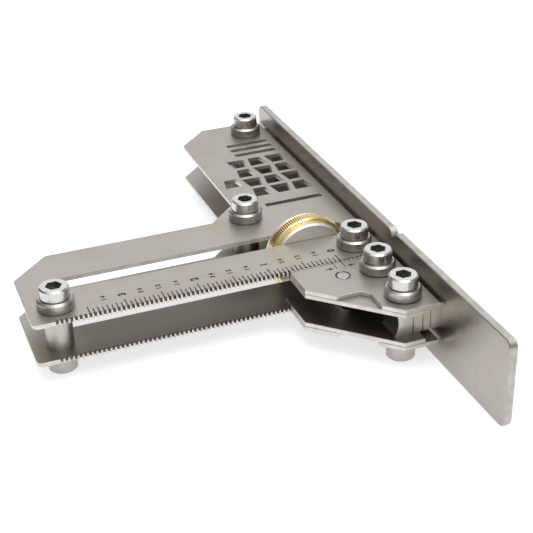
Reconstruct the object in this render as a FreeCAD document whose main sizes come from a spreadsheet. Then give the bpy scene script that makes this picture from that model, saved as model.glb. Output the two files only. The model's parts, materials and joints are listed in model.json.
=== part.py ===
import FreeCAD, Part
import os
import re

import Sketcher
from FreeCAD import Placement, Rotation, Vector

# An indexing jig for spacing joints: a flat T-shaped frame of two plates with a toothed inch rule, and a
# slider of four plates whose teeth mesh with it. A knurled wheel draws the slider's teeth into the rule.
# Half of a split fence strip is fixed to the frame and half to the slider.
#
# Places are measured from the datum: the rule's zero mark in x, the middle of the tooth depth in y and the
# middle of the frame's thickness in z. +X points along the arm to the fence, +Y along the fence, +Z up.

DIMENSIONS = {
    # Datum, from the middle of the jig's footprint at the surface it rests on
    "datum_x": 42.75,
    "datum_y": -25.5,
    "datum_z": 15.875,
    # Rule and teeth: sixteen to the inch
    "tooth_pitch": 1.5875,
    "tooth_width": 0.62,
    "tooth_depth": 1.2,
    "tooth_clearance": 0.3,
    "rule_gaps": 75,
    "rule_gaps_right": 11,
    "slider_gaps": 24,
    # Plates
    "plate_thickness": 1.6,
    "frame_gap": 12.8,
    "keeper_gap": 9.4,
    "plate_right": 18.5,
    # Frame outline
    "arm_length": 108.0,
    "arm_width": 45.0,
    "arm_end_chamfer": 13.5,
    "arm_front_round": 2.2,
    "corner_round": 1.0,
    "edge_break": 0.14,
    "body_left": 19.5,
    "body_back": 130.0,
    "back_chamfer": 12.3,
    "junction_chamfer": 12.0,
    # Slot for the wheel
    "slot_left": 95.5,
    "slot_right": 11.6,
    "top_slot_front": 18.6,
    "bottom_slot_front": 17.5,
    "slot_back": 27.1,
    # Windows in the top plate
    "long_window_width": 2.6,
    "long_window_left": -3.0,
    "long_window_right": 15.0,
    "long_window_y": 99.0,
    "long_window_step": 5.0,
    "front_window_left": -8.0,
    "front_window_y": 51.0,
    "window_x": 3.3,
    "window_step_x": 8.2,
    "window_y": 63.0,
    "window_step_y": 9.2,
    "window_height": 7.2,
    "window_wide": 7.4,
    "window_narrow": 5.0,
    "side_window_x": -13.2,
    "side_window_y": 74.0,
    "side_window_height": 7.0,
    "side_window_wide": 7.4,
    "side_window_narrow": 4.6,
    # Slider outline
    "slider_left": 19.0,
    "slider_front": 38.7,
    "slider_side": 13.7,
    "notch_back": 21.6,
    "notch_right": 0.2,
    "notch_chamfer": 2.7,
    "keeper_right": 13.5,
    "keeper_reach": 3.8,
    # Screw places
    "arm_screw_x": -98.2,
    "arm_screw_y": 9.3,
    "junction_screw_x": -18.6,
    "junction_screw_y": 44.4,
    "fence_screw_row": 9.5,
    "rear_screw_y": 120.2,
    "front_screw_y": 9.05,
    "slider_rear_screw_y": -10.0,
    "slider_front_screw_y": -29.05,
    # Fasteners
    "shank_radius": 3.0,
    "screw_hole_radius": 3.15,
    "shank_reach": 13.5,
    "head_radius": 5.0,
    "head_bevel": 0.5,
    "hex_radius": 2.887,
    "hex_depth": 4.0,
    "collar_radius": 6.3,
    "collar_height": 3.8,
    "collar_floor": 1.9,
    "collar_bevel": 0.7,
    "collar_recess_radius": 5.15,
    "nut_radius": 5.0,
    "nut_hex_depth": 2.0,
    "spacer_radius": 4.75,
    # Fence
    "fence_inner": 19.5,
    "fence_thickness": 3.0,
    "fence_height": 31.75,
    "fence_corner": 3.0,
    "fence_edge_break": 0.3,
    "frame_fence_front": -0.3,
    "slider_fence_back": -1.3,
    "slider_fence_front": -79.0,
    # Fence bars and the screws that hold the fence to them
    "bar_start": 4.5,
    "bar_width": 9.9,
    "bar_hollow_x": 5.8,
    "bar_hollow_radius": 9.8,
    "groove_width": 0.45,
    "groove_depth": 0.3,
    "groove_first": 11.2,
    "groove_middle": 14.8,
    "groove_last": 17.6,
    "fence_screw_radius": 2.0,
    "fence_screw_head": 4.0,
    "fence_screw_clearance": 0.1,
    "thread_fit": 0.02,
    "fence_screw_tip": 14.5,
    "fence_screw_hex": 1.443,
    "fence_screw_hex_depth": 1.2,
    # Clamp
    "wheel_x": -3.2,
    "wheel_radius": 15.2,
    "wheel_back": 25.0,
    "wheel_front": 20.8,
    "wheel_bevel": 0.9,
    "disc_radius": 13.7,
    "rear_disc_radius": 14.6,
    "disc_thickness": 1.9,
    "disc_gap": 0.1,
    "disc_bevel": 0.5,
    "stud_radius": 3.175,
    "stud_front": -14.0,
    "stud_back": 29.0,
    "stud_bevel": 0.6,
    "wheel_fit": 0.05,
    "disc_fit": 0.08,
    "post_y": -9.6,
    "post_radius": 4.75,
    "spigot_radius": 2.35,
    "spigot_bevel": 0.25,
    "spigot_hole_radius": 2.6,
}

HALF_FRAME = "frame_gap / 2 + plate_thickness"
HALF_SLIDER = "keeper_gap / 2 + 2 * plate_thickness"
RULE_TIP = "-tooth_depth / 2"
SLIDER_TIP = "tooth_depth / 2 - tooth_clearance"
FENCE_OUTER = "fence_inner + fence_thickness"

doc = FreeCAD.newDocument("SpacingJig")
sheet = doc.addObject("Spreadsheet::Sheet", "Dims")
for row, (alias, number) in enumerate(DIMENSIONS.items(), start=1):
    sheet.set(f"A{row}", alias)
    sheet.set(f"B{row}", str(number))
    sheet.setAlias(f"B{row}", alias)
doc.recompute()

parts = []


def bound(text):
    """The expression for a formula written with the sheet's aliases."""
    return re.sub(r"[a-z][a-z_]+", r"Dims.\g<0>", text)


def size(text):
    """The number that a formula gives now."""
    return float(sheet.evalExpression(bound(text)))


def bind(feature, path, text):
    feature.setExpression(path, bound(text))


def move(feature, x, y, z):
    """Place a feature at a point measured from the datum."""
    for axis, text in (("x", x), ("y", y), ("z", z)):
        bind(feature, f".Placement.Base.{axis}", f"datum_{axis} + ({text})")


def keep(feature, label):
    """Name a finished sub-part."""
    feature.Label = label
    parts.append(feature)
    return feature


# ---------------------------------------------------------------- sketches and solid features


def new_body(label, x="0", y="0", z="0"):
    body = doc.addObject("PartDesign::Body", label)
    move(body, x, y, z)
    return keep(body, label)


def origin_feature(body, role):
    return next(item for item in body.Origin.OriginFeatures if item.Role == role)


def new_sketch(body, name, plane="XY_Plane", level="0"):
    sketch = body.newObject("Sketcher::SketchObject", name)
    sketch.AttachmentSupport = [(origin_feature(body, plane), "")]
    sketch.MapMode = "FlatFace"
    bind(sketch, ".AttachmentOffset.Base.z", level)
    return sketch


def pin_point(sketch, index, vertex, x, y):
    """Fix one sketch point at a distance from the sketch's origin along each axis."""
    for kind, text in (("DistanceX", x), ("DistanceY", y)):
        number = sketch.addConstraint(Sketcher.Constraint(kind, -1, 1, index, vertex, size(text)))
        bind(sketch, f"Constraints[{number}]", text)


def add_polygon(sketch, points):
    """A closed outline through points given as pairs of formulas."""
    corners = [Vector(size(x), size(y), 0) for x, y in points]
    first = sketch.GeometryCount
    last = first + len(points) - 1
    for start, end in zip(corners, corners[1:] + corners[:1]):
        sketch.addGeometry(Part.LineSegment(start, end), False)
    for index in range(first, last + 1):
        following = index + 1 if index < last else first
        sketch.addConstraint(Sketcher.Constraint("Coincident", index, 2, following, 1))
    for index, (x, y) in enumerate(points, start=first):
        pin_point(sketch, index, 1, x, y)


def add_rectangle(sketch, left, right, front, back):
    add_polygon(sketch, [(left, front), (right, front), (right, back), (left, back)])


def add_circle(sketch, x, y, radius):
    circle = Part.Circle(Vector(size(x), size(y), 0), Vector(0, 0, 1), size(radius))
    index = sketch.addGeometry(circle, False)
    pin_point(sketch, index, 3, x, y)
    number = sketch.addConstraint(Sketcher.Constraint("Radius", index, size(radius)))
    bind(sketch, f"Constraints[{number}]", radius)


def pad(body, sketch, length):
    feature = body.newObject("PartDesign::Pad", f"{sketch.Name}Pad")
    feature.Profile = sketch
    bind(feature, "Length", length)
    doc.recompute()
    return feature


def pocket(body, sketch, depth=None):
    """Cut the sketch against its normal, right through when no depth is given."""
    before = body.Shape.Volume
    feature = body.newObject("PartDesign::Pocket", f"{sketch.Name}Pocket")
    feature.Profile = sketch
    if depth is None:
        feature.Type = "ThroughAll"
    else:
        bind(feature, "Length", depth)
    doc.recompute()
    if not body.Shape.Volume < before:
        raise RuntimeError(f"{feature.Name} cuts nothing")
    return feature


def repeat_along_x(body, feature, sketch, step, count):
    pattern = body.newObject("PartDesign::LinearPattern", f"{feature.Name}Row")
    pattern.Originals = [feature]
    pattern.Direction = (sketch, ["H_Axis"])
    bind(pattern, "Length", f"({step}) * ({count} - 1)")
    bind(pattern, "Occurrences", count)
    body.Tip = pattern
    doc.recompute()


def revolve(body, sketch, axis="V_Axis"):
    feature = body.newObject("PartDesign::Revolution", f"{sketch.Name}Turn")
    feature.Profile = sketch
    feature.ReferenceAxis = (sketch, [axis])
    feature.Angle = 360
    doc.recompute()
    return feature


def edge_names(shape, wanted):
    return [f"Edge{n}" for n, edge in enumerate(shape.Edges, start=1) if wanted(edge)]


# ---------------------------------------------------------------- primitives for turned fasteners


def bind_all(feature, sizes):
    for path, text in sizes.items():
        bind(feature, path, text)


def cylinder(x, y, z, radius, height, turn=None):
    feature = doc.addObject("Part::Cylinder", "Cylinder")
    bind_all(feature, {"Radius": radius, "Height": height})
    return stand(feature, x, y, z, turn)


def cone(x, y, z, low_radius, high_radius, height, turn=None):
    feature = doc.addObject("Part::Cone", "Cone")
    bind_all(feature, {"Radius1": low_radius, "Radius2": high_radius, "Height": height})
    return stand(feature, x, y, z, turn)


def hexagon(x, y, z, radius, height, turn=None):
    feature = doc.addObject("Part::Prism", "Hexagon")
    feature.Polygon = 6
    bind_all(feature, {"Circumradius": radius, "Height": height})
    return stand(feature, x, y, z, turn)


def stand(feature, x, y, z, turn):
    if turn is not None:
        feature.Placement = Placement(Vector(0, 0, 0), turn)
    move(feature, x, y, z)
    return feature


def joined(pieces):
    feature = doc.addObject("Part::MultiFuse", "Joined")
    feature.Shapes = pieces
    return feature


def without(base, tool):
    feature = doc.addObject("Part::Cut", "Bored")
    feature.Base = base
    feature.Tool = tool
    return feature


def group(label, pieces):
    feature = doc.addObject("Part::Compound", label)
    feature.Links = pieces
    return keep(feature, label)


# ---------------------------------------------------------------- frame plates

FRAME_OUTLINE = [
    ("plate_right", RULE_TIP),
    ("plate_right", "body_back"),
    ("back_chamfer - body_left", "body_back"),
    ("-body_left", "body_back - back_chamfer"),
    ("-body_left", "arm_width + junction_chamfer"),
    ("-body_left - junction_chamfer", "arm_width"),
    ("arm_end_chamfer - arm_length", "arm_width"),
    ("-arm_length", "arm_width - arm_end_chamfer"),
    ("-arm_length", RULE_TIP),
]

FRAME_SCREWS = [
    ("arm_screw_x", "arm_screw_y"),
    ("junction_screw_x", "junction_screw_y"),
    ("fence_screw_row", "rear_screw_y"),
    ("fence_screw_row", "front_screw_y"),
]

SLIDER_SCREWS = [
    ("fence_screw_row", "slider_rear_screw_y"),
    ("fence_screw_row", "slider_front_screw_y"),
]

WINDOW_ROWS = 4
WINDOW_COLUMNS = 3
LONG_WINDOWS = 3


def cut_teeth(body, first_x, root, tip, count):
    """Square gaps along the plate's edge, the first centred on first_x and the rest to its right."""
    gap = "(tooth_pitch - tooth_width)"
    sketch = new_sketch(body, f"{body.Name}Gap", level="plate_thickness")
    add_rectangle(sketch, f"{first_x} - {gap} / 2", f"{first_x} + {gap} / 2", root, tip)
    feature = pocket(body, sketch)
    repeat_along_x(body, feature, sketch, "tooth_pitch", count)


def round_corners(body, corners, radius):
    """Round the upright edges that stand at these corners."""
    blank = body.Tip
    places = [(size(x), size(y)) for x, y in corners]

    def stands_at_corner(edge):
        first, last = (edge.Vertexes[0].Point, edge.Vertexes[-1].Point)
        if abs(first.z - last.z) < 0.01:
            return False
        return any(abs(first.x - x) < 0.01 and abs(first.y - y) < 0.01 for x, y in places)

    feature = body.newObject("PartDesign::Fillet", f"{body.Name}_{radius}")
    feature.Base = (blank, edge_names(blank.Shape, stands_at_corner))
    bind(feature, "Radius", radius)
    doc.recompute()


def break_edges(body, axis, amount):
    """A small bevel round both faces of a sheet that lies square to this axis."""
    blank = body.Tip
    feature = body.newObject("PartDesign::Chamfer", f"{body.Name}_{amount}")
    span = f"{axis}Length"
    feature.Base = (blank, edge_names(blank.Shape, lambda edge: getattr(edge.BoundBox, span) < 0.01))
    bind(feature, "Size", amount)
    doc.recompute()


def frame_plate(label, level, slot_front):
    body = new_body(label, z=level)
    outline = new_sketch(body, f"{label}_outline")
    add_polygon(outline, FRAME_OUTLINE)
    pad(body, outline, "plate_thickness")
    round_corners(body, FRAME_OUTLINE[-1:], "arm_front_round")
    round_corners(body, FRAME_OUTLINE[2:4] + FRAME_OUTLINE[6:8], "corner_round")
    break_edges(body, "Z", "edge_break")
    openings = new_sketch(body, f"{label}_openings", level="plate_thickness")
    add_rectangle(openings, "-slot_left", "slot_right", slot_front, "slot_back")
    for x, y in FRAME_SCREWS:
        add_circle(openings, x, y, "screw_hole_radius")
    pocket(body, openings)
    return body


def add_dovetail(sketch, x, y, height, wide, narrow, wide_in_front):
    """A dovetail-shaped window, its wide side to the front or to the back."""
    front, back = (wide, narrow) if wide_in_front else (narrow, wide)
    corners = [
        (f"{x} - {front} / 2", f"{y} - {height} / 2"),
        (f"{x} + {front} / 2", f"{y} - {height} / 2"),
        (f"{x} + {back} / 2", f"{y} + {height} / 2"),
        (f"{x} - {back} / 2", f"{y} + {height} / 2"),
    ]
    add_polygon(sketch, corners)


def cut_windows(body):
    """Windows: rows of dovetails that face by turns, a single one beside them, and long plain ones."""
    for line in range(WINDOW_ROWS):
        sketch = new_sketch(body, f"WindowRow{line}", level="plate_thickness")
        for column in range(WINDOW_COLUMNS):
            x = f"window_x + {column - 1} * window_step_x"
            y = f"window_y + {line} * window_step_y"
            wide_in_front = (line + column) % 2 == 0
            add_dovetail(sketch, x, y, "window_height", "window_wide", "window_narrow", wide_in_front)
        pocket(body, sketch)
    single = new_sketch(body, "SideWindow", level="plate_thickness")
    add_dovetail(
        single,
        "side_window_x",
        "side_window_y",
        "side_window_height",
        "side_window_wide",
        "side_window_narrow",
        True,
    )
    pocket(body, single)
    long_windows = new_sketch(body, "LongWindows", level="plate_thickness")
    places = [("front_window_left", "front_window_y")]
    for line in range(LONG_WINDOWS):
        places.append(("long_window_left", f"long_window_y + {line} * long_window_step"))
    for left, y in places:
        front = f"{y} - long_window_width / 2"
        add_rectangle(long_windows, left, "long_window_right", front, f"{front} + long_window_width")
    pocket(body, long_windows)


def make_frame_plates():
    last_gap = "(rule_gaps_right - rule_gaps + 1) * tooth_pitch"
    for label, level, slot_front in (
        ("top_plate", "frame_gap / 2", "top_slot_front"),
        ("bottom_plate", f"-({HALF_FRAME})", "bottom_slot_front"),
    ):
        body = frame_plate(label, level, slot_front)
        if label == "top_plate":
            cut_windows(body)
        cut_teeth(body, last_gap, "tooth_depth / 2", "-tooth_depth", "rule_gaps")


# ---------------------------------------------------------------- slider plates

SLIDER_OUTLINE = [
    ("plate_right", "-slider_front"),
    ("plate_right", SLIDER_TIP),
    ("-slider_left", SLIDER_TIP),
    ("-slider_left", "-slider_side"),
    ("notch_back - slider_left - slider_side", "-notch_back"),
    ("notch_right - notch_chamfer", "-notch_back"),
    ("notch_right", "-notch_back - notch_chamfer"),
    ("notch_right", "-slider_left - slider_side - notch_right"),
    ("slider_front - slider_left - slider_side", "-slider_front"),
]

KEEPER_OUTLINE = [
    ("keeper_right", "-slider_front"),
    ("keeper_right", "keeper_reach"),
    ("-slider_left", "keeper_reach"),
    ("-slider_left", "-slider_side"),
    ("slider_front - slider_left - slider_side", "-slider_front"),
]


def slider_layer(label, level, outline):
    body = new_body(label, z=level)
    sketch = new_sketch(body, f"{label}_outline")
    add_polygon(sketch, outline)
    pad(body, sketch, "plate_thickness")
    break_edges(body, "Z", "edge_break")
    holes = new_sketch(body, f"{label}_holes", level="plate_thickness")
    add_circle(holes, "wheel_x", "post_y", "spigot_hole_radius")
    for x, y in SLIDER_SCREWS:
        add_circle(holes, x, y, "screw_hole_radius")
    pocket(body, holes)
    return body


def make_slider_plates():
    first_gap = "(0.5 - slider_gaps / 2) * tooth_pitch"
    root = f"{SLIDER_TIP} - tooth_depth"
    for label, level in (
        ("slider_top_plate", f"{HALF_SLIDER} - plate_thickness"),
        ("slider_bottom_plate", f"-({HALF_SLIDER})"),
    ):
        body = slider_layer(label, level, SLIDER_OUTLINE)
        cut_teeth(body, first_gap, root, "tooth_depth", "slider_gaps")
    slider_layer("slider_top_keeper", "keeper_gap / 2", KEEPER_OUTLINE)
    slider_layer("slider_bottom_keeper", "-keeper_gap / 2 - plate_thickness", KEEPER_OUTLINE)


# ---------------------------------------------------------------- fence halves, bars and spacers

GROOVES = ["groove_first", "groove_middle", "groove_last"]


def fence(label, front, back, screw_rows):
    body = new_body(label)
    outline = new_sketch(body, f"{label}_outline", "YZ_Plane", "fence_inner")
    add_rectangle(outline, front, back, "-fence_height / 2", "fence_height / 2")
    slab = pad(body, outline, "fence_thickness")
    rounds = body.newObject("PartDesign::Fillet", f"{label}_rounds")
    thickness = size("fence_thickness")
    rounds.Base = (slab, edge_names(slab.Shape, lambda edge: abs(edge.Length - thickness) < 0.01))
    bind(rounds, "Radius", "fence_corner")
    doc.recompute()
    break_edges(body, "X", "fence_edge_break")
    holes = new_sketch(body, f"{label}_holes", "YZ_Plane", FENCE_OUTER)
    for y in screw_rows:
        add_circle(holes, y, "0", "fence_screw_radius + fence_screw_clearance")
    bored = pocket(body, holes)
    outer = size(FENCE_OUTER)

    def is_mouth(edge):
        round_edge = isinstance(edge.Curve, Part.Circle) and edge.Closed
        return round_edge and abs(edge.Curve.Center.x - outer) < 0.01

    sinks = body.newObject("PartDesign::Chamfer", f"{label}_countersinks")
    sinks.Base = (bored, edge_names(bored.Shape, is_mouth))
    bind(sinks, "Size", "fence_screw_head - fence_screw_radius")
    doc.recompute()


def fence_bar(label, y, gap):
    """A square bar from the plates to the fence, hollowed at its free end and scored round.

    One hole takes an upright screw and the other takes the fence's screw.
    """
    body = new_body(label, y=y)
    end = new_sketch(body, f"{label}_end", "YZ_Plane", "bar_start")
    add_rectangle(end, "-bar_width / 2", "bar_width / 2", f"-{gap} / 2", f"{gap} / 2")
    pad(body, end, "fence_inner - bar_start")
    hollow = new_sketch(body, f"{label}_hollow", "XZ_Plane", "bar_width")
    add_circle(hollow, "bar_hollow_x - bar_hollow_radius", "0", "bar_hollow_radius")
    pocket(body, hollow)
    for groove in GROOVES:
        ring = new_sketch(body, f"{label}_{groove}", "YZ_Plane", f"{groove} + groove_width / 2")
        for side, top in (
            ("(bar_width / 2 + 1)", f"({gap} / 2 + 1)"),
            ("(bar_width / 2 - groove_depth)", f"({gap} / 2 - groove_depth)"),
        ):
            add_rectangle(ring, f"-{side}", side, f"-{top}", top)
        pocket(body, ring, "groove_width")
    upright = new_sketch(body, f"{label}_upright", level=f"{gap} / 2")
    add_circle(upright, "fence_screw_row", "0", "screw_hole_radius")
    pocket(body, upright)
    tapped = new_sketch(body, f"{label}_tapped", "YZ_Plane", "fence_inner")
    add_circle(tapped, "0", "0", "fence_screw_radius + thread_fit")
    pocket(body, tapped, "fence_inner - fence_screw_tip + thread_fit")


def spacer(label, x, y):
    body = new_body(label, x, y)
    ring = new_sketch(body, f"{label}_ring", level="-frame_gap / 2")
    add_circle(ring, "0", "0", "spacer_radius")
    add_circle(ring, "0", "0", "screw_hole_radius")
    pad(body, ring, "frame_gap")


# ---------------------------------------------------------------- fasteners


def make_screws(label, places, face):
    """Socket head cap screws whose heads sit in their collars on the top plate."""
    screws = []
    head_height = "(fence_height / 2 - collar_floor - frame_gap / 2 - plate_thickness)"
    for x, y in places:
        seat = f"{face} + collar_floor"
        pieces = [
            cylinder(x, y, seat, "head_radius", f"{head_height} - head_bevel"),
            cone(
                x,
                y,
                f"{seat} + {head_height} - head_bevel",
                "head_radius",
                "head_radius - head_bevel",
                "head_bevel",
            ),
            cylinder(x, y, "-shank_reach", "shank_radius", f"{seat} + shank_reach"),
        ]
        socket = hexagon(x, y, f"{seat} + {head_height} - hex_depth", "hex_radius", "hex_depth + 1")
        screws.append(without(joined(pieces), socket))
    group(label, screws)


def make_collars(label, places, face):
    collars = []
    for x, y in places:
        pieces = [
            cylinder(x, y, face, "collar_radius", "collar_height - collar_bevel"),
            cone(
                x,
                y,
                f"{face} + collar_height - collar_bevel",
                "collar_radius",
                "collar_radius - collar_bevel",
                "collar_bevel",
            ),
        ]
        bores = [
            cylinder(x, y, f"{face} - 1", "screw_hole_radius", "collar_height"),
            cylinder(x, y, f"{face} + collar_floor", "collar_recess_radius", "collar_height"),
        ]
        collars.append(without(joined(pieces), joined(bores)))
    group(label, collars)


def make_barrel_nuts(label, places, face):
    """Round nuts under the bottom plate, each with a hexagon socket in its lower end."""
    nuts = []
    height = "(fence_height / 2 - frame_gap / 2 - plate_thickness)"
    for x, y in places:
        foot = f"-({face}) - {height}"
        pieces = [
            cone(x, y, foot, "nut_radius - head_bevel", "nut_radius", "head_bevel"),
            cylinder(x, y, f"{foot} + head_bevel", "nut_radius", f"{height} - head_bevel"),
        ]
        bores = [
            cylinder(x, y, "-shank_reach - thread_fit", "shank_radius + thread_fit", "shank_reach"),
            hexagon(x, y, f"{foot} - 1", "hex_radius", "nut_hex_depth + 1"),
        ]
        nuts.append(without(joined(pieces), joined(bores)))
    group(label, nuts)


def make_fence_screws(label, rows):
    """Countersunk screws that run from the fence's outer face into the bars."""
    to_right = Rotation(Vector(0, 1, 0), 90)
    screws = []
    for y in rows:
        head_depth = "(fence_screw_head - fence_screw_radius)"
        pieces = [
            cylinder(
                "fence_screw_tip",
                y,
                "0",
                "fence_screw_radius",
                f"{FENCE_OUTER} - {head_depth} - fence_screw_tip",
                to_right,
            ),
            cone(
                f"{FENCE_OUTER} - {head_depth}",
                y,
                "0",
                "fence_screw_radius",
                "fence_screw_head",
                head_depth,
                to_right,
            ),
        ]
        socket = hexagon(
            f"{FENCE_OUTER} - fence_screw_hex_depth",
            y,
            "0",
            "fence_screw_hex",
            "fence_screw_hex_depth + 1",
            to_right,
        )
        screws.append(without(joined(pieces), socket))
    group(label, screws)


# ---------------------------------------------------------------- clamp


def turned(label, x, points, plane="XY_Plane", y="0"):
    """A piece turned about an axis through its own origin, from a half outline of radius and length."""
    body = new_body(label, x, y)
    profile = new_sketch(body, f"{label}_profile", plane)
    add_polygon(profile, points)
    revolve(body, profile)
    return body


def half_outline(bore, rim, front, back, bevel):
    return [
        (bore, front),
        (f"{rim} - {bevel}", front),
        (rim, f"{front} + {bevel}"),
        (rim, f"{back} - {bevel}"),
        (f"{rim} - {bevel}", back),
        (bore, back),
    ]


def make_clamp():
    wheel_bore = "stud_radius + wheel_fit"
    wheel = half_outline(wheel_bore, "wheel_radius", "wheel_front", "wheel_back", "wheel_bevel")
    turned("clamp_wheel", "wheel_x", wheel)
    front_disc = half_outline(
        "stud_radius + disc_fit",
        "disc_radius",
        "wheel_front - disc_gap - disc_thickness",
        "wheel_front - disc_gap",
        "disc_bevel",
    )
    turned("front_thrust_disc", "wheel_x", front_disc)
    rear_disc = half_outline(
        "stud_radius + disc_fit",
        "rear_disc_radius",
        "wheel_back + disc_gap",
        "wheel_back + disc_gap + disc_thickness",
        "disc_bevel",
    )
    turned("rear_thrust_disc", "wheel_x", rear_disc)
    stud = [
        ("0", "stud_front"),
        ("stud_radius - stud_bevel", "stud_front"),
        ("stud_radius", "stud_front + stud_bevel"),
        ("stud_radius", "stud_back - stud_bevel"),
        ("stud_radius - stud_bevel", "stud_back"),
        ("0", "stud_back"),
    ]
    turned("clamp_stud", "wheel_x", stud)
    post = [
        ("0", f"-({HALF_SLIDER})"),
        ("spigot_radius - spigot_bevel", f"-({HALF_SLIDER})"),
        ("spigot_radius", f"spigot_bevel - ({HALF_SLIDER})"),
        ("spigot_radius", "-keeper_gap / 2"),
        ("post_radius", "-keeper_gap / 2"),
        ("post_radius", "keeper_gap / 2"),
        ("spigot_radius", "keeper_gap / 2"),
        ("spigot_radius", f"{HALF_SLIDER} - spigot_bevel"),
        ("spigot_radius - spigot_bevel", HALF_SLIDER),
        ("0", HALF_SLIDER),
    ]
    body = turned("clamp_post", "wheel_x", post, "XZ_Plane", "post_y")
    cross_hole = new_sketch(body, "PostCrossHole", "XZ_Plane", "2 * post_radius")
    add_circle(cross_hole, "0", "0", "stud_radius + thread_fit")
    pocket(body, cross_hole, "4 * post_radius")


def make_everything():
    make_frame_plates()
    make_slider_plates()
    fence("frame_fence", "frame_fence_front", "body_back", ["rear_screw_y", "front_screw_y"])
    fence(
        "slider_fence",
        "slider_fence_front",
        "slider_fence_back",
        ["slider_rear_screw_y", "slider_front_screw_y"],
    )
    fence_bar("frame_fence_bar_rear", "rear_screw_y", "frame_gap")
    fence_bar("frame_fence_bar_front", "front_screw_y", "frame_gap")
    fence_bar("slider_fence_bar_rear", "slider_rear_screw_y", "keeper_gap")
    fence_bar("slider_fence_bar_front", "slider_front_screw_y", "keeper_gap")
    spacer("arm_end_spacer", "arm_screw_x", "arm_screw_y")
    spacer("junction_spacer", "junction_screw_x", "junction_screw_y")
    for side, places, face in (("frame", FRAME_SCREWS, HALF_FRAME), ("slider", SLIDER_SCREWS, HALF_SLIDER)):
        make_screws(f"{side}_screws", places, face)
        make_collars(f"{side}_collars", places, face)
        make_barrel_nuts(f"{side}_barrel_nuts", places, face)
    make_fence_screws("frame_fence_screws", ["rear_screw_y", "front_screw_y"])
    make_fence_screws("slider_fence_screws", ["slider_rear_screw_y", "slider_front_screw_y"])
    make_clamp()


def check_and_write():
    doc.recompute()
    for item in doc.Objects:
        if "Invalid" in item.State or "Error" in item.State:
            raise RuntimeError(f"{item.Label} failed")
    for item in parts:
        if item.Shape.isNull() or not item.Shape.isValid():
            raise RuntimeError(f"{item.Label} has no valid shape")
    os.makedirs("parts", exist_ok=True)
    for item in parts:
        item.Shape.exportStep(os.path.join("parts", f"{item.Label}.step"))
        box = item.Shape.BoundBox
        lengths = f"{box.XLength:.1f} {box.YLength:.1f} {box.ZLength:.1f}"
        print(f"{item.Label}: {len(item.Shape.Solids)} solids, {lengths}")


make_everything()
check_and_write()
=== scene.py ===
import json
import math

import bmesh
import bpy
from mathutils import Matrix, Vector


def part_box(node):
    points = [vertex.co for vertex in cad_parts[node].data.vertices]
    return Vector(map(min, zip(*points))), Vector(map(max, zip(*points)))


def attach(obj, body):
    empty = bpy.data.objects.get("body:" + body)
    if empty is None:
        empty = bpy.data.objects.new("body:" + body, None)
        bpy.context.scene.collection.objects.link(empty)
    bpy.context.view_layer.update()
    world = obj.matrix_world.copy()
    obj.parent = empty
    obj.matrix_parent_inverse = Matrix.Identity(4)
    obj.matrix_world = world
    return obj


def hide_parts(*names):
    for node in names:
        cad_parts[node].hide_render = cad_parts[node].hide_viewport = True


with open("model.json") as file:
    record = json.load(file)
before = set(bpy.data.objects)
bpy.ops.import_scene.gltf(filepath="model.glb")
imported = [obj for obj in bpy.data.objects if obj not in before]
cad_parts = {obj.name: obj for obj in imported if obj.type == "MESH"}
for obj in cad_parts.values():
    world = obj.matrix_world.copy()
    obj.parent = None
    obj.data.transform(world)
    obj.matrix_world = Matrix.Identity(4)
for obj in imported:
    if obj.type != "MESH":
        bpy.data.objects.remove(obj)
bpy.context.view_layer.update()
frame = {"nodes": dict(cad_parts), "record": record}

MM = 0.001
PLATE_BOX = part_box("top_plate")
SLIDER_PLATE_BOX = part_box("slider_top_plate")
WHEEL_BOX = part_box("clamp_wheel")

# The rule's zero mark is 108 mm from the arm's end, and the teeth's middle line 0.6 mm behind their tips.
ZERO_X = PLATE_BOX[0].x + 108 * MM
TEETH_Y = PLATE_BOX[0].y + 0.6 * MM
PITCH = 1.5875 * MM
PLATE_TOP = PLATE_BOX[1].z
SLIDER_TOP = SLIDER_PLATE_BOX[1].z
WHEEL_CENTRE = (WHEEL_BOX[0] + WHEEL_BOX[1]) / 2
KNURL_DEPTH = 0.42 * MM
HEAD_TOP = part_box("frame_screws")[1].z
BAR_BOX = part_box("slider_fence_bar_front")

# The six upright screws, from the zero mark in x and the teeth's middle line in y
SCREW_PLACES = [
    (ZERO_X + x * MM, TEETH_Y + y * MM)
    for x, y in ((-98.2, 9.3), (-18.6, 44.4), (9.5, 120.2), (9.5, 9.05), (9.5, -10.0), (9.5, -29.05))
]


# ---------------------------------------------------------------- material nodes


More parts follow.
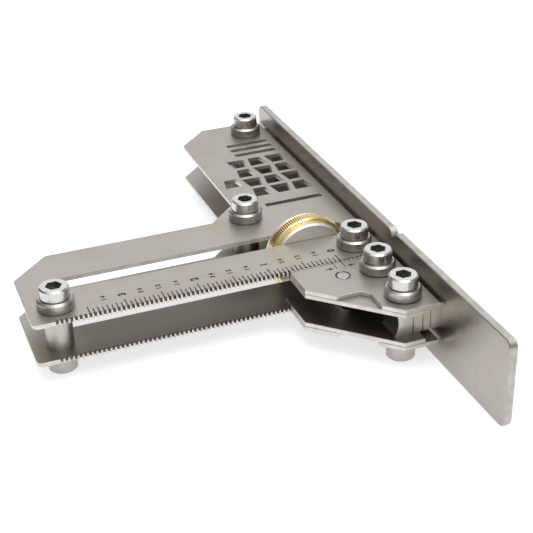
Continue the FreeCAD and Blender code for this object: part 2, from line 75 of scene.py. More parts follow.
class Nodes:
    """A node tree being built, with short ways to add and join nodes."""

    def __init__(self, tree):
        self.tree = tree
        tree.nodes.clear()
        self.coordinates = self.add("ShaderNodeTexCoord")

    def add(self, kind, **settings):
        node = self.tree.nodes.new(kind)
        for key, value in settings.items():
            setattr(node, key, value)
        return node

    def feed(self, socket, value):
        """Set a socket to a constant, or link it to another node's output."""
        if isinstance(value, bpy.types.NodeSocket):
            self.tree.links.new(value, socket)
        else:
            socket.default_value = value

    def math(self, operation, first, second=0.0):
        node = self.add("ShaderNodeMath", operation=operation)
        self.feed(node.inputs[0], first)
        self.feed(node.inputs[1], second)
        return node.outputs[0]

    def remap(self, value, low, high, to_low, to_high):
        node = self.add("ShaderNodeMapRange")
        self.feed(node.inputs["Value"], value)
        ends = {"From Min": low, "From Max": high, "To Min": to_low, "To Max": to_high}
        for socket, number in ends.items():
            node.inputs[socket].default_value = number
        return node.outputs["Result"]

    def spread(self, noise, low, high):
        """Stretch the usual values of a noise, 0.3 to 0.7, over this range."""
        return self.remap(noise, 0.3, 0.7, low, high)

    def mix(self, factor, first, second, blend_type="MIX"):
        node = self.add("ShaderNodeMix", data_type="RGBA", blend_type=blend_type)
        self.feed(node.inputs["Factor"], factor)
        self.feed(node.inputs["A"], (*first, 1.0) if isinstance(first, tuple) else first)
        self.feed(node.inputs["B"], (*second, 1.0) if isinstance(second, tuple) else second)
        return node.outputs["Result"]

    def choose(self, factor, first, second):
        node = self.add("ShaderNodeMix", data_type="FLOAT")
        self.feed(node.inputs["Factor"], factor)
        self.feed(node.inputs["A"], first)
        self.feed(node.inputs["B"], second)
        return node.outputs["Result"]

    def grey(self, value):
        """A colour with the same value in each channel."""
        node = self.add("ShaderNodeCombineColor")
        for channel in ("Red", "Green", "Blue"):
            self.feed(node.inputs[channel], value)
        return node.outputs["Color"]

    def noise(self, scale, detail=2.0, source=None):
        """Noise from 0 to 1, stretched by giving a different scale along each axis, in cells per metre."""
        mapping = self.add("ShaderNodeMapping")
        mapping.inputs["Scale"].default_value = scale
        self.feed(mapping.inputs["Vector"], source or self.coordinates.outputs["Object"])
        texture = self.add("ShaderNodeTexNoise")
        texture.inputs["Scale"].default_value = 1.0
        texture.inputs["Detail"].default_value = detail
        self.feed(texture.inputs["Vector"], mapping.outputs["Vector"])
        return texture.outputs["Fac"]

    def position(self, axis):
        split = self.add("ShaderNodeSeparateXYZ")
        self.feed(split.inputs["Vector"], self.coordinates.outputs["Object"])
        return split.outputs[axis]

    def distance(self, x, y, axes=("X", "Y")):
        """Distance from a line that crosses the plane of these two axes at (x, y)."""
        squares = []
        for axis, centre in zip(axes, (x, y)):
            squares.append(self.math("POWER", self.math("SUBTRACT", self.position(axis), centre), 2.0))
        return self.math("SQRT", self.math("ADD", *squares))


class Graph(Nodes):
    """A material with one metal or paint shader."""

    def __init__(self, name, metallic, roughness):
        self.material = bpy.data.materials.new(name)
        self.material.use_nodes = True
        super().__init__(self.material.node_tree)
        output = self.add("ShaderNodeOutputMaterial")
        self.shader = self.add("ShaderNodeBsdfPrincipled")
        self.shader.inputs["Metallic"].default_value = metallic
        self.shader.inputs["Roughness"].default_value = roughness
        self.tree.links.new(self.shader.outputs["BSDF"], output.inputs["Surface"])

    def facing(self, axis):
        """How squarely the surface faces along an axis, from 0 to 1."""
        split = self.add("ShaderNodeSeparateXYZ")
        self.feed(split.inputs["Vector"], self.coordinates.outputs["Normal"])
        return self.math("ABSOLUTE", split.outputs[axis])

    def rounded_bump(self, height, distance, radius):
        """Fine relief on top of softly rounded edges."""
        bevel = self.add("ShaderNodeBevel", samples=4)
        bevel.inputs["Radius"].default_value = radius
        bump = self.add("ShaderNodeBump")
        bump.inputs["Strength"].default_value = 1.0
        bump.inputs["Distance"].default_value = distance
        self.feed(bump.inputs["Height"], height)
        self.feed(bump.inputs["Normal"], bevel.outputs["Normal"])
        self.feed(self.shader.inputs["Normal"], bump.outputs["Normal"])


# Shares of the tint that a warm patch, a dark blotch on a cut edge and the top plate's painted shadow leave
# in each channel
WARM_SHADE = (0.97, 0.93, 0.88)
EDGE_SHADE = (0.86, 0.82, 0.76)
PAINTED_SHADOW_SHADE = (0.66, 0.65, 0.62)

# The walls between the rule's teeth, which get painted shade, from the teeth's middle line, and the left end
# of the toothed stretch
GAP_START = -0.45 * MM
GAP_END = 0.7 * MM
FIRST_GAP = ZERO_X - 63.6 * PITCH
BLEND = 0.1 * MM

# Cells per metre along each axis: the brush's fine and broad lines for a grain along X or Z, and the rest
GRAIN = {
    "X": ((60, 3600, 3600), (12, 900, 900)),
    "Z": ((3600, 3600, 60), (900, 900, 12)),
}
PATCH_CELLS = (70, 70, 70)
BLOTCH_CELLS = (260, 260, 260)
STRIATION_CELLS = (3200, 3200, 260)

# How squarely a surface faces along an axis before it counts as flat, as a start and an end
FACE_ON = (0.5, 0.8)

# The top plate's painted shadow on the lower plates starts at one place in x on the arm and at another on
# the back. The arm passes into the back over this stretch of y.
ARM_TO_BACK = (TEETH_Y + 42 * MM, TEETH_Y + 50 * MM)
SHADOW_ARM_X = ZERO_X - 104 * MM
SHADOW_BACK_X = ZERO_X - 14 * MM
SHADOW_FADE = 16 * MM

# Depth of the brush lines, and the radius of the softened edges
SHEET_RELIEF = 0.002 * MM
SHEET_BEVEL = 0.1 * MM


def shaded(colour, factors):
    return tuple(channel * factor for channel, factor in zip(colour, factors))


def under_top_plate(graph):
    """Where the top plate's shadow is painted on the lower one: not at the arm's end or the back's left
    edge.
    """
    back = graph.remap(graph.position("Y"), *ARM_TO_BACK, 0.0, 1.0)
    start = graph.choose(back, SHADOW_ARM_X, SHADOW_BACK_X)
    return graph.remap(graph.math("SUBTRACT", graph.position("X"), start), 0.0, SHADOW_FADE, 0.0, 1.0)


def between_teeth(graph):
    """The walls between the teeth, where shade is painted: 1 from the tips back to the roots, to the right
    of the first gap.
    """
    along = graph.math("SUBTRACT", graph.position("Y"), TEETH_Y)
    past_tips = graph.remap(along, GAP_START, GAP_START + BLEND, 0.0, 1.0)
    before_roots = graph.remap(along, GAP_END, GAP_END + BLEND, 1.0, 0.0)
    right_of_first = graph.remap(graph.position("X"), FIRST_GAP, FIRST_GAP + BLEND, 0.0, 1.0)
    return graph.math("MULTIPLY", graph.math("MULTIPLY", past_tips, before_roots), right_of_first)


def sheet_steel(name, tint, edge_tint, grain, face_axis, roughness, gap_shade=None, top_plate_shadow=None):
    """Finely brushed sheet with faint warm patches; its cut edges are paler, with short striations.

    A gap colour paints shade on the walls between the teeth. The last argument takes the graph and gives the
    share of the faces that get the top plate's painted shadow.
    """
    graph = Graph(name, metallic=1.0, roughness=roughness)
    fine_cells, broad_cells = GRAIN[grain]
    fine = graph.noise(fine_cells, detail=3.0)
    broad = graph.noise(broad_cells)
    patch = graph.noise(PATCH_CELLS)
    face = graph.mix(graph.remap(patch, 0.4, 0.65, 0.0, 1.0), tint, shaded(tint, WARM_SHADE))
    shade = graph.math("ADD", graph.spread(fine, -0.03, 0.03), graph.spread(broad, 0.98, 1.02))
    face = graph.mix(1.0, face, graph.grey(shade), "MULTIPLY")
    # Painted shadow of the top plate on the lower plates
    if top_plate_shadow:
        face = graph.mix(top_plate_shadow(graph), face, shaded(tint, PAINTED_SHADOW_SHADE))
    striation = graph.noise(STRIATION_CELLS, detail=3.0)
    blotch = graph.noise(BLOTCH_CELLS)
    edge = graph.mix(graph.remap(blotch, 0.42, 0.62, 0.0, 0.8), edge_tint, shaded(edge_tint, EDGE_SHADE))
    edge = graph.mix(1.0, edge, graph.grey(graph.spread(striation, 0.92, 1.06)), "MULTIPLY")
    # Painted shade on the walls between the teeth
    if gap_shade:
        edge = graph.mix(between_teeth(graph), edge, gap_shade)
    flat = graph.remap(graph.facing(face_axis), *FACE_ON, 0.0, 1.0)
    graph.feed(graph.shader.inputs["Base Color"], graph.mix(flat, edge, face))
    face_rough = graph.remap(fine, 0.25, 0.75, roughness - 0.03, roughness + 0.05)
    edge_rough = graph.spread(striation, 0.4, 0.55)
    graph.feed(graph.shader.inputs["Roughness"], graph.choose(flat, edge_rough, face_rough))
    graph.rounded_bump(graph.choose(flat, striation, fine), SHEET_RELIEF, SHEET_BEVEL)
    return graph.material


SMEAR_CELLS = (300, 300, 300)
TURNED_BEVEL = 0.06 * MM


def turned_steel(name, tint, ring_scale, roughness, bump, darken=None):
    """Bright bar stock turned in a lathe: fine rings round the part's axis and faint smears.

    bump is the depth of the rings in millimetres. darken takes the graph and gives the share of the surface
    that gets painted shade.
    """
    graph = Graph(name, metallic=1.0, roughness=roughness)
    rings = graph.noise(ring_scale, detail=3.0)
    smear = graph.noise(SMEAR_CELLS)
    fine = graph.spread(rings, -0.05, 0.05)
    shade = graph.math("ADD", fine, graph.remap(smear, 0.35, 0.65, 0.97, 1.03))
    colour = graph.mix(1.0, tint, graph.grey(shade), "MULTIPLY")
    # Painted shade where darken says
    if darken:
        colour = graph.mix(darken(graph), colour, PAINTED_SHADE)
    graph.feed(graph.shader.inputs["Base Color"], colour)
    fine = graph.spread(rings, -0.03, 0.03)
    worn = graph.math("ADD", fine, graph.remap(smear, 0.35, 0.65, -0.03, 0.05))
    graph.feed(graph.shader.inputs["Roughness"], graph.math("ADD", worn, roughness))
    graph.rounded_bump(rings, bump * MM, TURNED_BEVEL)
    return graph.material


# The colour of the painted shade in sockets, at the collars' feet and in the bars' hollow ends and scored
# lines
PAINTED_SHADE = (0.035, 0.032, 0.027)
# A hexagon socket's reach from the screw's axis, the depth of its countersunk mouth, and its own depth
SOCKET_REACH = 2.98 * MM
SOCKET_DROP = 0.12 * MM
SOCKET_DEPTH = 3.9 * MM
# How dark the painted shade gets at a socket's bottom
SOCKET_SHADE = 0.45
SOCKET_BLEND = 0.02 * MM


def inside_sockets(graph):
    """The hexagon sockets, with painted shade that deepens towards their bottoms."""
    nearest = 1.0
    for x, y in SCREW_PLACES:
        nearest = graph.math("MINIMUM", graph.distance(x, y), nearest)
    near = graph.remap(nearest, SOCKET_REACH, SOCKET_REACH + SOCKET_BLEND, 1.0, 0.0)
    bottom = HEAD_TOP - SOCKET_DEPTH
    mouth = HEAD_TOP - SOCKET_DROP
    sunk = graph.remap(graph.position("Z"), bottom, mouth, SOCKET_SHADE, 0.0)
    below = graph.remap(graph.position("Z"), mouth, HEAD_TOP - SOCKET_BLEND, 1.0, 0.0)
    return graph.math("MULTIPLY", graph.math("MULTIPLY", near, sunk), below)


# The heights between which the painted contact shadow round a collar's foot fades, below and above
FOOT_BELOW = (PLATE_TOP - 1.0 * MM, PLATE_TOP - 0.9 * MM)
FOOT_ABOVE = (PLATE_TOP + 0.12 * MM, PLATE_TOP + 0.3 * MM)


def at_collar_foot(graph):
    """A thin painted contact shadow where a collar stands on its plate."""
    foot = graph.remap(graph.position("Z"), *FOOT_ABOVE, 1.0, 0.0)
    above = graph.remap(graph.position("Z"), *FOOT_BELOW, 0.0, 1.0)
    return graph.math("MULTIPLY", foot, above)


# From the end of a bar, the depth of the hollow that gets painted shade, and the scored lines. A line's
# painted shade is full up to its first reach and fades out at its second.
HOLLOW_DEPTH = 1.45 * MM
HOLLOW_FADE = 0.15 * MM
HOLLOW_SHADE = 0.8
SCORES = (6.7 * MM, 10.3 * MM, 13.1 * MM)
SCORE_REACH = (0.08 * MM, 0.2 * MM)
SCORE_SHADE = 0.55


def at_hollow_end_and_scores(graph):
    """Painted shade in the bars' hollowed ends and in the bottoms of the scored lines."""
    start = BAR_BOX[0].x
    hollow = start + HOLLOW_DEPTH
    dark = graph.math(
        "MULTIPLY",
        graph.remap(graph.position("X"), hollow, hollow + HOLLOW_FADE, HOLLOW_SHADE, 0.0),
        graph.remap(graph.facing("X"), 0.3, 0.6, 0.0, 1.0),
    )
    for score in SCORES:
        away = graph.math("ABSOLUTE", graph.math("SUBTRACT", graph.position("X"), start + score))
        dark = graph.math("MAXIMUM", graph.remap(away, *SCORE_REACH, SCORE_SHADE, 0.0), dark)
    return dark


DISC_RING_CELLS = (2800, 2800, 1)
DISC_SMEAR_CELLS = (160, 160, 160)
DISC_RELIEF = 0.003 * MM
DISC_BEVEL = 0.2 * MM


def faced_disc(name, tint, centre, roughness):
    """A disc faced off in a lathe: fine rings round its centre, seen from its end."""
    graph = Graph(name, metallic=1.0, roughness=roughness)
    place = graph.add("ShaderNodeCombineXYZ")
    graph.feed(place.inputs["X"], graph.distance(centre.x, centre.z, ("X", "Z")))
    graph.feed(place.inputs["Y"], graph.position("Y"))
    rings = graph.noise(DISC_RING_CELLS, detail=3.0, source=place.outputs["Vector"])
    smear = graph.noise(DISC_SMEAR_CELLS)
    shade = graph.math("ADD", graph.spread(rings, -0.06, 0.06), graph.remap(smear, 0.35, 0.65, 0.96, 1.04))
    graph.feed(graph.shader.inputs["Base Color"], graph.mix(1.0, tint, graph.grey(shade), "MULTIPLY"))
    graph.feed(graph.shader.inputs["Roughness"], graph.spread(rings, roughness - 0.04, roughness + 0.06))
    graph.rounded_bump(rings, DISC_RELIEF, DISC_BEVEL)
    return graph.material


TARNISH_CELLS = (220, 220, 220)
BRASS_GRAIN_CELLS = (2600, 2600, 2600)
BRASS_RELIEF = 0.002 * MM
# Where the painted shade in a groove starts and stops fading, as shares of the knurls' depth, and the
# stretch where the front bevel ends
GROOVE_SHADE = (0.8, 0.35)
BEVEL_END = (0.6 * MM, 0.7 * MM)


def knurled_brass(name, centre, rim, front):
    """Brass, polished on the front bevel, with painted shade in the bottoms of the knurls."""
    graph = Graph(name, metallic=1.0, roughness=0.2)
    tarnish = graph.noise(TARNISH_CELLS, detail=3.0)
    fine = graph.noise(BRASS_GRAIN_CELLS)
    colour = graph.mix(graph.remap(tarnish, 0.35, 0.7, 0.0, 1.0), BRASS_TINT, BRASS_WARM)
    radius = graph.distance(centre.x, centre.z, ("X", "Z"))
    inner, outer = (rim - share * KNURL_DEPTH for share in GROOVE_SHADE)
    valley = graph.remap(radius, inner, outer, 1.0, 0.0)
    start, end = (front + depth for depth in BEVEL_END)
    behind_bevel = graph.remap(graph.position("Y"), start, end, 0.0, 1.0)
    # Painted shade in the bottoms of the knurls
    colour = graph.mix(graph.math("MULTIPLY", valley, behind_bevel), colour, BRASS_GROOVE_SHADE)
    shade = graph.grey(graph.spread(fine, 0.95, 1.05))
    graph.feed(graph.shader.inputs["Base Color"], graph.mix(1.0, colour, shade, "MULTIPLY"))
    graph.feed(graph.shader.inputs["Roughness"], graph.spread(tarnish, 0.16, 0.3))
    bump = graph.add("ShaderNodeBump")
    bump.inputs["Distance"].default_value = BRASS_RELIEF
    graph.feed(bump.inputs["Height"], fine)
    graph.feed(graph.shader.inputs["Normal"], bump.outputs["Normal"])
    return graph.material


BLACK_CELLS = (5000, 5000, 5000)


def etched_black(name):
    graph = Graph(name, metallic=0.0, roughness=0.6)
    fine = graph.noise(BLACK_CELLS)
    colour = graph.mix(graph.spread(fine, 0.0, 1.0), BLACK_DARK, BLACK_LIGHT)
    graph.feed(graph.shader.inputs["Base Color"], colour)
    graph.feed(graph.shader.inputs["Roughness"], graph.spread(fine, 0.5, 0.75))
    return graph.material


PLATE_TINT = (0.405, 0.38, 0.342)
PLATE_EDGE = (0.66, 0.645, 0.615)
# The painted shade on the walls between the rule's teeth
TEETH_GAP_SHADE = (0.13, 0.118, 0.098)
FENCE_TINT = (0.38, 0.355, 0.325)
FENCE_EDGE = (0.47, 0.455, 0.43)
BRASS_TINT = (0.96, 0.79, 0.44)
BRASS_WARM = (0.88, 0.67, 0.30)
# The painted shade in the bottoms of the knurls
BRASS_GROOVE_SHADE = (0.20, 0.10, 0.025)
BAR_TINT = (0.72, 0.70, 0.65)
SCREW_TINT = (0.58, 0.57, 0.54)
COLLAR_TINT = (0.43, 0.415, 0.38)
DISC_TINT = (0.92, 0.90, 0.85)
CLAMP_TINT = (0.44, 0.425, 0.39)
SPACER_TINT = (0.47, 0.455, 0.42)
BLACK_DARK = (0.006, 0.006, 0.006)
BLACK_LIGHT = (0.02, 0.019, 0.017)
WHEEL_RIM = (WHEEL_BOX[1].x - WHEEL_BOX[0].x) / 2
WHEEL_FRONT = WHEEL_BOX[0].y

# Cells per metre of the rings on parts turned about Z and Y, and of the bars' grinding marks
UPRIGHT_RINGS = (60, 60, 2400)
LEVEL_RINGS = (60, 2600, 60)
GRINDING_MARKS = (2600, 120, 120)

MATERIALS = {
    "plate_steel": sheet_steel("plate_steel_brushed", PLATE_TINT, PLATE_EDGE, "X", "Z", 0.43, TEETH_GAP_SHADE),
    "fence_steel": sheet_steel("fence_steel_brushed", FENCE_TINT, FENCE_EDGE, "Z", "X", 0.29),
    "bar_steel": turned_steel(
        "bar_steel_ground",
        BAR_TINT,
        GRINDING_MARKS,
        roughness=0.34,
        bump=0.003,
        darken=at_hollow_end_and_scores,
    ),
    "bright_fasteners": turned_steel(
        "screw_steel_bright",
        SCREW_TINT,
        UPRIGHT_RINGS,
        roughness=0.24,
        bump=0.002,
        darken=inside_sockets,
    ),
    "bright_collars": turned_steel(
        "collar_steel_bright",
        COLLAR_TINT,
        UPRIGHT_RINGS,
        roughness=0.28,
        bump=0.003,
        darken=at_collar_foot,
    ),
    "disc_steel": faced_disc("disc_steel_faced", DISC_TINT, WHEEL_CENTRE, roughness=0.46),
    "clamp_steel": turned_steel("clamp_steel_turned", CLAMP_TINT, LEVEL_RINGS, roughness=0.26, bump=0.004),
    "wheel_brass": knurled_brass("wheel_brass_knurled", WHEEL_CENTRE, WHEEL_RIM, WHEEL_FRONT),
}
# The lower plates, with the top plate's painted shadow on them
LOWER_PLATE_STEEL_SHADOWED = sheet_steel(
    "lower_plate_steel_brushed_shadowed", PLATE_TINT, PLATE_EDGE, "X", "Z", 0.41, TEETH_GAP_SHADE, under_top_plate
)
SPACER_STEEL = turned_steel("spacer_steel_turned", SPACER_TINT, UPRIGHT_RINGS, roughness=0.38, bump=0.003)

# Nodes that look a little different from the rest of their material; the lower plates carry the top plate's
# painted shadow
NODE_MATERIALS = {
    "bottom_plate": LOWER_PLATE_STEEL_SHADOWED,
    "slider_bottom_plate": LOWER_PLATE_STEEL_SHADOWED,
    "slider_bottom_keeper": LOWER_PLATE_STEEL_SHADOWED,
    "arm_end_spacer": SPACER_STEEL,
    "junction_spacer": SPACER_STEEL,
}
# Black for the printed marks, and for the painted shade in the gap round the post
MARK_AND_SHADE_BLACK = etched_black("rule_marks_etched_and_post_shade")

slot_of = {row["node"]: row["material_slot"] for row in frame["record"]["subparts"]}
for node, obj in frame["nodes"].items():
    obj.data.materials.clear()
    obj.data.materials.append(NODE_MATERIALS.get(node, MATERIALS[slot_of[node]]))


# ---------------------------------------------------------------- pieces built here


def add_piece(name, mesh, material, body):
    obj = bpy.data.objects.new(name, mesh)
    bpy.context.scene.collection.objects.link(obj)
    obj.data.materials.clear()
    obj.data.materials.append(material)
    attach(obj, body)
    return obj


KNURLS = 116
# The height of one knurl at each step round the rim: a ridge, then a narrow groove
KNURL_PROFILE = (1.0, 1.0, 1.0, 0.1, 0.1)
WHEEL_BORE = 3.225 * MM
BORE_BEVEL = 0.15 * MM


def knurled_wheel():
    """The clamp wheel: a ring with straight knurling, a polished front bevel and a plain bore."""
    front = WHEEL_FRONT
    back = WHEEL_BOX[1].y
    rim = WHEEL_RIM
    # radius, distance along the axis, share of the knurl's depth
    stations = [
        (WHEEL_BORE, front + BORE_BEVEL, 0),
        (WHEEL_BORE + BORE_BEVEL, front, 0),
        (rim - 0.75 * MM, front, 0),
        (rim - 0.62 * MM, front + 0.06 * MM, 0),
        (rim - 0.16 * MM, front + 0.44 * MM, 0),
        (rim - 0.08 * MM, front + 0.56 * MM, 0),
        (rim, front + 0.66 * MM, 1),
        (rim, back - 0.2 * MM, 1),
        (rim - 0.12 * MM, back, 0),
        (WHEEL_BORE + BORE_BEVEL, back, 0),
        (WHEEL_BORE, back - BORE_BEVEL, 0),
    ]
    steps = KNURLS * len(KNURL_PROFILE)
    build = bmesh.new()
    rings = []
    for radius, y, share in stations:
        ring = []
        for step in range(steps):
            angle = 2 * math.pi * step / steps
            sunk = (1 - KNURL_PROFILE[step % len(KNURL_PROFILE)]) * KNURL_DEPTH * share
            reach = radius - sunk
            place = (WHEEL_CENTRE.x + reach * math.cos(angle), y, WHEEL_CENTRE.z + reach * math.sin(angle))
            ring.append(build.verts.new(place))
        rings.append(ring)
    for first, second in zip(rings, rings[1:] + rings[:1]):
        for step in range(steps):
            following = (step + 1) % steps
            build.faces.new((first[step], first[following], second[following], second[step]))
    bmesh.ops.recalc_face_normals(build, faces=build.faces)
    mesh = bpy.data.meshes.new("knurled_wheel")
    build.to_mesh(mesh)
    build.free()
    piece = add_piece("knurled_wheel", mesh, MATERIALS["wheel_brass"], "wheel")
    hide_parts("clamp_wheel")


MARK_SUNK = 0.01 * MM
MARK_PROUD = 0.02 * MM
TICK_WIDTH = 0.42 * MM
TICK_START = 0.62 * MM
TICK_ENDS = {"long": 4.75 * MM, "middle": 3.5 * MM, "short": 2.95 * MM}
LAST_TICK = 56
LAST_QUARTER = 13
LABEL_Y = 8.05 * MM
LABEL_HEIGHT = 2.9 * MM
FRACTION_HEIGHT = 1.85 * MM
FRACTION_REACH = 0.95 * MM
NUMERAL_WEIGHT = 0.055
QUARTERS = (None, ("1", "4"), ("1", "2"), ("3", "4"))


def prism(build, outline, level):
    """A thin flat solid with this outline, sunk a little into the surface at this level."""
    top = [build.verts.new((x, y, level + MARK_PROUD)) for x, y in outline]
    bottom = [build.verts.new((x, y, level - MARK_SUNK)) for x, y in outline]
    build.faces.new(top)
    build.faces.new(bottom[::-1])
    for index, corner in enumerate(top):
        following = (index + 1) % len(top)
        build.faces.new((corner, bottom[index], bottom[following], top[following]))


def stroke(build, x, start, end, width, level):
    left = x - width / 2
    right = x + width / 2
    prism(build, [(left, start), (right, start), (right, end), (left, end)], level)


def glyph(text, height):
    """A numeral as a mesh, centred, with its own up along +Y, scaled to this height."""
    curve = bpy.data.curves.new("numeral", "FONT")
    curve.body = text
    curve.extrude = 0.5
    curve.offset = NUMERAL_WEIGHT
    holder = bpy.data.objects.new("numeral", curve)
    bpy.context.scene.collection.objects.link(holder)
    depsgraph = bpy.context.evaluated_depsgraph_get()
    mesh = bpy.data.meshes.new_from_object(holder.evaluated_get(depsgraph))
    bpy.data.objects.remove(holder)
    corners = [vertex.co for vertex in mesh.vertices]
    low = Vector([min(corner[axis] for corner in corners) for axis in range(3)])
    high = Vector([max(corner[axis] for corner in corners) for axis in range(3)])
    centre = (low + high) / 2
    flat = height / (high.y - low.y)
    thick = (MARK_PROUD + MARK_SUNK) / (high.z - low.z)
    mesh.transform(Matrix.Diagonal((flat, flat, thick, 1)) @ Matrix.Translation(-centre))
    return mesh


def add_numeral(build, text, height, x, y, level):
    """Numerals read toward +Y, with their tops toward the arm's end."""
    mesh = glyph(text, height)
    middle = level + (MARK_PROUD - MARK_SUNK) / 2
    mesh.transform(Matrix.Translation((x, y, middle)) @ Matrix.Rotation(math.pi / 2, 4, "Z"))
    build.from_mesh(mesh)
    bpy.data.meshes.remove(mesh)


def finish_marks(build, name, body):
    mesh = bpy.data.meshes.new(name)
    build.to_mesh(mesh)
    build.free()
    return add_piece(name, mesh, MARK_AND_SHADE_BLACK, body)


def rule_marks():
    """The inch rule: ticks every sixteenth, numbered at each quarter."""
    build = bmesh.new()
    for count in range(LAST_TICK + 1):
        length = "long" if count % 8 == 0 else "middle" if count % 2 == 0 else "short"
        x = ZERO_X - count * PITCH
        stroke(build, x, TEETH_Y + TICK_START, TEETH_Y + TICK_ENDS[length], TICK_WIDTH, PLATE_TOP)
    for quarter in range(LAST_QUARTER + 1):
        x = ZERO_X - quarter * 4 * PITCH
        y = TEETH_Y + LABEL_Y
        whole, part = divmod(quarter, 4)
        if part == 0:
            add_numeral(build, str(whole), LABEL_HEIGHT, x, y, PLATE_TOP)
        else:
            over, under = QUARTERS[part]
            add_numeral(build, over, FRACTION_HEIGHT, x, y - FRACTION_REACH, PLATE_TOP)
            add_numeral(build, under, FRACTION_HEIGHT, x, y + FRACTION_REACH, PLATE_TOP)
    finish_marks(build, "rule_marks", "frame")


POINTER_LINES = (0.0, -3.175 * MM)
POINTER_START = -4.45 * MM
POINTER_END = 0.3 * MM
POINTER_WIDTH = 0.34 * MM
ARROW_Y = -3.95 * MM
ARROW_LENGTH = 3.1 * MM
ARROW_HEAD = 1.7 * MM
ARROW_GAP = 0.95 * MM
ARROW_HALF_SHAFT = 0.22 * MM
ARROW_HALF_HEAD = 0.95 * MM


def arrow(build, tip, tail, y, level):
    """A flat arrow along X."""
    way = 1 if tip > tail else -1
    neck = tip - way * ARROW_HEAD
    outline = [
        (tip, y),
        (neck, y + ARROW_HALF_HEAD),
        (neck, y + ARROW_HALF_SHAFT),
        (tail, y + ARROW_HALF_SHAFT),
        (tail, y - ARROW_HALF_SHAFT),
        (neck, y - ARROW_HALF_SHAFT),
        (neck, y - ARROW_HALF_HEAD),
    ]
    prism(build, outline if way < 0 else outline[::-1], level)


# Painted shade in the gap round the post's end: the arcs' inner and outer reach from its axis
POST_GAP_SHADE_INNER = 2.36 * MM
POST_GAP_SHADE_OUTER = 2.78 * MM
# The arcs' first and last angles, and the step between corners, in degrees
POST_GAP_SHADE_SPANS = ((20, 75), (100, 205), (225, 310))
POST_GAP_SHADE_STEP = 5


def stake_marks(build, x, y):
    """Broken dark arcs of painted shade in the gap round the end of the post that is staked into the plate.
    """
    for first, last in POST_GAP_SHADE_SPANS:
        angles = [math.radians(angle) for angle in range(first, last + 1, POST_GAP_SHADE_STEP)]
        for start, end in zip(angles, angles[1:]):
            corners = ((POST_GAP_SHADE_INNER, start), (POST_GAP_SHADE_OUTER, start), (POST_GAP_SHADE_OUTER, end), (POST_GAP_SHADE_INNER, end))
            outline = [(x + reach * math.cos(turn), y + reach * math.sin(turn)) for reach, turn in corners]
            prism(build, outline, SLIDER_TOP)


def slider_marks():
    """Two pointer lines from the slider's teeth, an arrow to each, and arcs of painted shade in the gap
    round the post.
    """
    build = bmesh.new()
    for offset in POINTER_LINES:
        start = TEETH_Y + POINTER_START
        stroke(build, ZERO_X + offset, start, TEETH_Y + POINTER_END, POINTER_WIDTH, SLIDER_TOP)
    y = TEETH_Y + ARROW_Y
    right = ZERO_X + ARROW_GAP
    left = ZERO_X + POINTER_LINES[1] - ARROW_GAP
    arrow(build, right, right + ARROW_LENGTH, y, SLIDER_TOP)
    arrow(build, left, left - ARROW_LENGTH, y, SLIDER_TOP)
    post_low, post_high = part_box("clamp_post")
    # Painted shade in the gap round the post's end
    stake_marks(build, (post_low.x + post_high.x) / 2, (post_low.y + post_high.y) / 2)
    finish_marks(build, "slider_marks", "slider")


knurled_wheel()
rule_marks()
slider_marks()


# ---------------------------------------------------------------- floor, light and camera


FLOOR_GLOW = 0.68
FLOOR_REACH = 30.0
FLOOR_CELLS = 8
PAPER_CELLS = (400, 400, 400)
PAPER_DARK = (0.5, 0.5, 0.5)
PAPER_LIGHT = (0.54, 0.54, 0.54)


def make_floor():
    """A sheet of pale backlit paper."""
    build = bmesh.new()
    bmesh.ops.create_grid(build, x_segments=FLOOR_CELLS, y_segments=FLOOR_CELLS, size=FLOOR_REACH)
    mesh = bpy.data.meshes.new("studio_floor")
    build.to_mesh(mesh)
    build.free()
    floor = bpy.data.objects.new("studio_floor", mesh)
    bpy.context.scene.collection.objects.link(floor)
    graph = Graph("studio_floor_paper", metallic=0.0, roughness=0.9)
    fibre = graph.noise(PAPER_CELLS)
    graph.feed(graph.shader.inputs["Base Color"], graph.mix(fibre, PAPER_DARK, PAPER_LIGHT))
    graph.shader.inputs["Emission Color"].default_value = (1.0, 1.0, 1.0, 1.0)
    graph.shader.inputs["Emission Strength"].default_value = FLOOR_GLOW
    floor.data.materials.append(graph.material)


SKY_COLOUR = (1.0, 1.015, 1.05, 1)
# Each stop: how high it lies, as the sine of its elevation, and its level; the two end stops come first
SKY_LEVELS = ((0.0, 0.3), (1.0, 1.0), (0.2, 0.6), (0.45, 1.0))
SKY_STRENGTH = 1.22
DARK_SIDES = 0.22
# Each bright side: its direction in degrees, clockwise from +Y, half width, soft edge and level
BRIGHT_SIDES = ((24, 34, 26, 1.0), (-160, 12, 18, 0.6))
# Straight overhead the sides no longer differ: the heights where the change starts and ends
OVERHEAD = (0.6, 0.85)


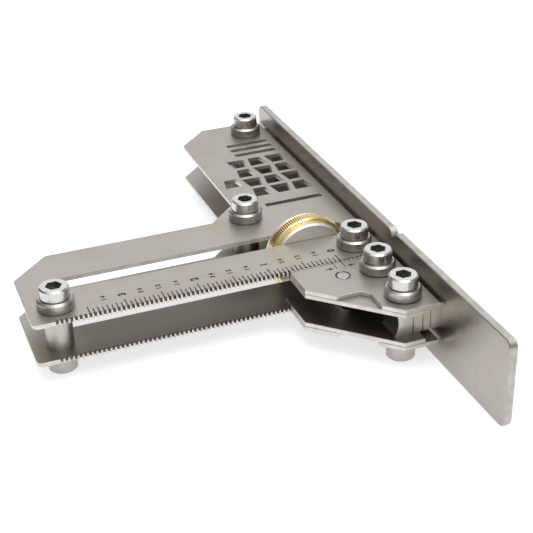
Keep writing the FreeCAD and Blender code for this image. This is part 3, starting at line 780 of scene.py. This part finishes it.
def make_world():
    """Soft studio surroundings: bright behind, to the right, and over the camera, darker at the sides."""
    world = bpy.data.worlds.new("studio")
    bpy.context.scene.world = world
    world.use_nodes = True
    nodes = Nodes(world.node_tree)
    split = nodes.add("ShaderNodeSeparateXYZ")
    nodes.feed(split.inputs["Vector"], nodes.coordinates.outputs["Generated"])
    height = nodes.add("ShaderNodeValToRGB")
    nodes.feed(height.inputs["Fac"], split.outputs["Z"])
    stops = height.color_ramp.elements
    for index, (position, level) in enumerate(SKY_LEVELS):
        stop = stops[index] if index < 2 else stops.new(position)
        stop.position = position
        stop.color = (level, level, level, 1)
    flat = nodes.add("ShaderNodeCombineXYZ")
    nodes.feed(flat.inputs["X"], split.outputs["X"])
    nodes.feed(flat.inputs["Y"], split.outputs["Y"])
    compass = nodes.add("ShaderNodeVectorMath", operation="NORMALIZE")
    nodes.feed(compass.inputs[0], flat.outputs["Vector"])
    sides = DARK_SIDES
    for direction, half_width, soft, level in BRIGHT_SIDES:
        turn = math.radians(direction)
        along = nodes.add("ShaderNodeVectorMath", operation="DOT_PRODUCT")
        nodes.feed(along.inputs[0], compass.outputs["Vector"])
        along.inputs[1].default_value = (math.sin(turn), math.cos(turn), 0)
        outer = math.cos(math.radians(half_width + soft))
        inner = math.cos(math.radians(half_width))
        lobe = nodes.remap(along.outputs["Value"], outer, inner, DARK_SIDES, level)
        sides = nodes.math("MAXIMUM", lobe, sides)
    sides = nodes.math("MAXIMUM", sides, nodes.remap(split.outputs["Z"], *OVERHEAD, 0.0, 1.0))
    strength = nodes.math("MULTIPLY", nodes.math("MULTIPLY", height.outputs["Color"], sides), SKY_STRENGTH)
    background = nodes.add("ShaderNodeBackground")
    background.inputs["Color"].default_value = SKY_COLOUR
    nodes.feed(background.inputs["Strength"], strength)
    output = nodes.add("ShaderNodeOutputWorld")
    nodes.feed(output.inputs["Surface"], background.outputs["Background"])


def area_light(name, place, width, depth, power):
    """A rectangular light that points at the middle of the scene."""
    data = bpy.data.lights.new(name, "AREA")
    data.shape = "RECTANGLE"
    data.size = width
    data.size_y = depth
    data.energy = power
    light = bpy.data.objects.new(name, data)
    bpy.context.scene.collection.objects.link(light)
    light.location = place
    light.rotation_euler = (-Vector(place)).to_track_quat("-Z", "Y").to_euler()


# Each light: its name, place, width, depth and power
LIGHTS = (
    ("overhead", (0.0, 0.0, 1.2), 1.0, 1.0, 6),
    ("front", (0.1, -0.6, 0.95), 0.7, 0.4, 2.2),
)

CAMERA_PLACE = (-0.10873, -0.35706, 0.22630)
CAMERA_AZIMUTH = math.radians(20.52)
CAMERA_ELEVATION = math.radians(29.29)
CAMERA_ROLL = math.radians(-1.50)
SENSOR_WIDTH = 36
FOCAL_LENGTH = 80.83


def make_camera():
    data = bpy.data.cameras.new("camera")
    data.sensor_width = SENSOR_WIDTH
    data.lens = FOCAL_LENGTH
    data.clip_start = 0.01
    camera = bpy.data.objects.new("camera", data)
    bpy.context.scene.collection.objects.link(camera)
    turn = (
        Matrix.Rotation(-CAMERA_AZIMUTH, 4, "Z")
        @ Matrix.Rotation(math.pi / 2 - CAMERA_ELEVATION, 4, "X")
        @ Matrix.Rotation(CAMERA_ROLL, 4, "Z")
    )
    camera.matrix_world = Matrix.Translation(CAMERA_PLACE) @ turn
    bpy.context.scene.camera = camera


make_floor()
make_world()
for light in LIGHTS:
    area_light(*light)
make_camera()
bpy.context.scene.view_settings.view_transform = "Standard"
